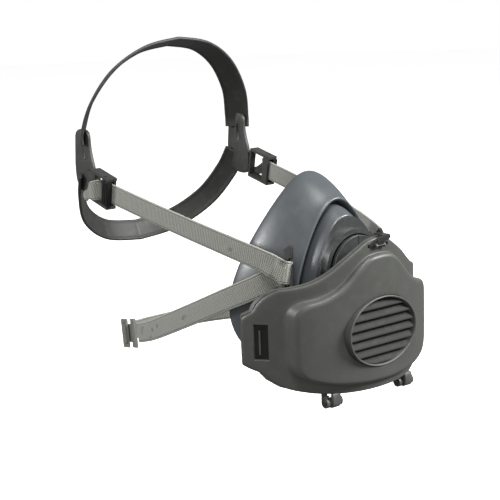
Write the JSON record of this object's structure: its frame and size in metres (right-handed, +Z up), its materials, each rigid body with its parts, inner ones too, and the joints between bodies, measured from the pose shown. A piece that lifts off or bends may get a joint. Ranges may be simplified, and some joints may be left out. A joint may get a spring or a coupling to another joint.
{
  "type": "respirator",
  "caption": "Half-mask respirator with a rubber facepiece, hinged filter box with a round grille, elastic straps and a head cradle.",
  "frame": {"origin": "Centre of the opening that seals on the face.", "axes": "+Z up, the wearer faces -Y and the straps run back along +Y, +X is the wearer's left."},
  "size_m": [0.1736, 0.3236, 0.2556],
  "materials": {
    "rubber": "smooth blue-grey rubber, semi-gloss",
    "valve_rubber": "thin translucent silicone sheet",
    "box_plastic": "fine matte moulded grey plastic",
    "body_plastic": "satin moulded grey plastic",
    "dark_plastic": "black moulded plastic",
    "cradle_plastic": "flexible dark grey plastic band",
    "clasp_plastic": "moulded grey plastic",
    "felt": "needled white filter felt",
    "strap": "knitted light grey elastic",
    "steel": "drawn steel pin"
  },
  "bodies": {
    "mask": {"facepiece": "rubber", "front_body": "body_plastic", "inhalation_seat": "dark_plastic", "exhalation_seat": "dark_plastic", "exhalation_cover": "body_plastic", "port_gasket": "rubber", "filter_base": "box_plastic", "filter_grid": "dark_plastic", "filter_pad": "felt", "hinge_pins": "steel", "strap_yoke_left": "dark_plastic", "strap_yoke_right": "dark_plastic", "harness_strap_left": "strap", "harness_strap_right": "strap", "adjuster_frame_left": "cradle_plastic", "adjuster_frame_right": "cradle_plastic", "head_cradle": "cradle_plastic", "neck_clasp_hook": "clasp_plastic", "neck_clasp_loop": "clasp_plastic"},
    "cover": {"front_cover": "box_plastic", "grille": "box_plastic", "clip_pin": "steel"},
    "clip": {"top_clip": "dark_plastic"},
    "inhalation_flap": {"inhalation_flap": "valve_rubber"},
    "exhalation_flap": {"exhalation_flap": "valve_rubber"},
    "cam_left": {"adjuster_cam_left": "dark_plastic"},
    "cam_right": {"adjuster_cam_right": "dark_plastic"}
  },
  "joints": [
    {"name": "cover_swing", "type": "hinge", "parent": "mask", "child": "cover", "pos_m": [0, -0.0725, -0.0745], "axis": [1, 0, 0], "range_deg": [0, 95]},
    {"name": "clip_lift", "type": "hinge", "parent": "cover", "child": "clip", "pos_m": [0, -0.0859, 0.0304], "axis": [1, 0, 0], "range_deg": [0, 30], "stiffness_Nm_per_rad": 0.02},
    {"name": "inhalation_lift", "type": "slide", "parent": "mask", "child": "inhalation_flap", "axis": [0, 1, 0], "range_m": [0, 0.0013], "stiffness_N_per_m": 20},
    {"name": "exhalation_lift", "type": "slide", "parent": "mask", "child": "exhalation_flap", "axis": [0, -1, 0], "range_m": [0, 0.0013], "stiffness_N_per_m": 20},
    {"name": "cam_left_tilt", "type": "hinge", "parent": "mask", "child": "cam_left", "pos_m": [0.0802, 0.14015, 0.05046], "axis": [0, -0.2079, 0.9781], "range_deg": [0, 35]},
    {"name": "cam_right_tilt", "type": "hinge", "parent": "mask", "child": "cam_right", "pos_m": [-0.0802, 0.14015, 0.05046], "axis": [0, 0.2079, -0.9781], "range_deg": [0, 35]}
  ]
}
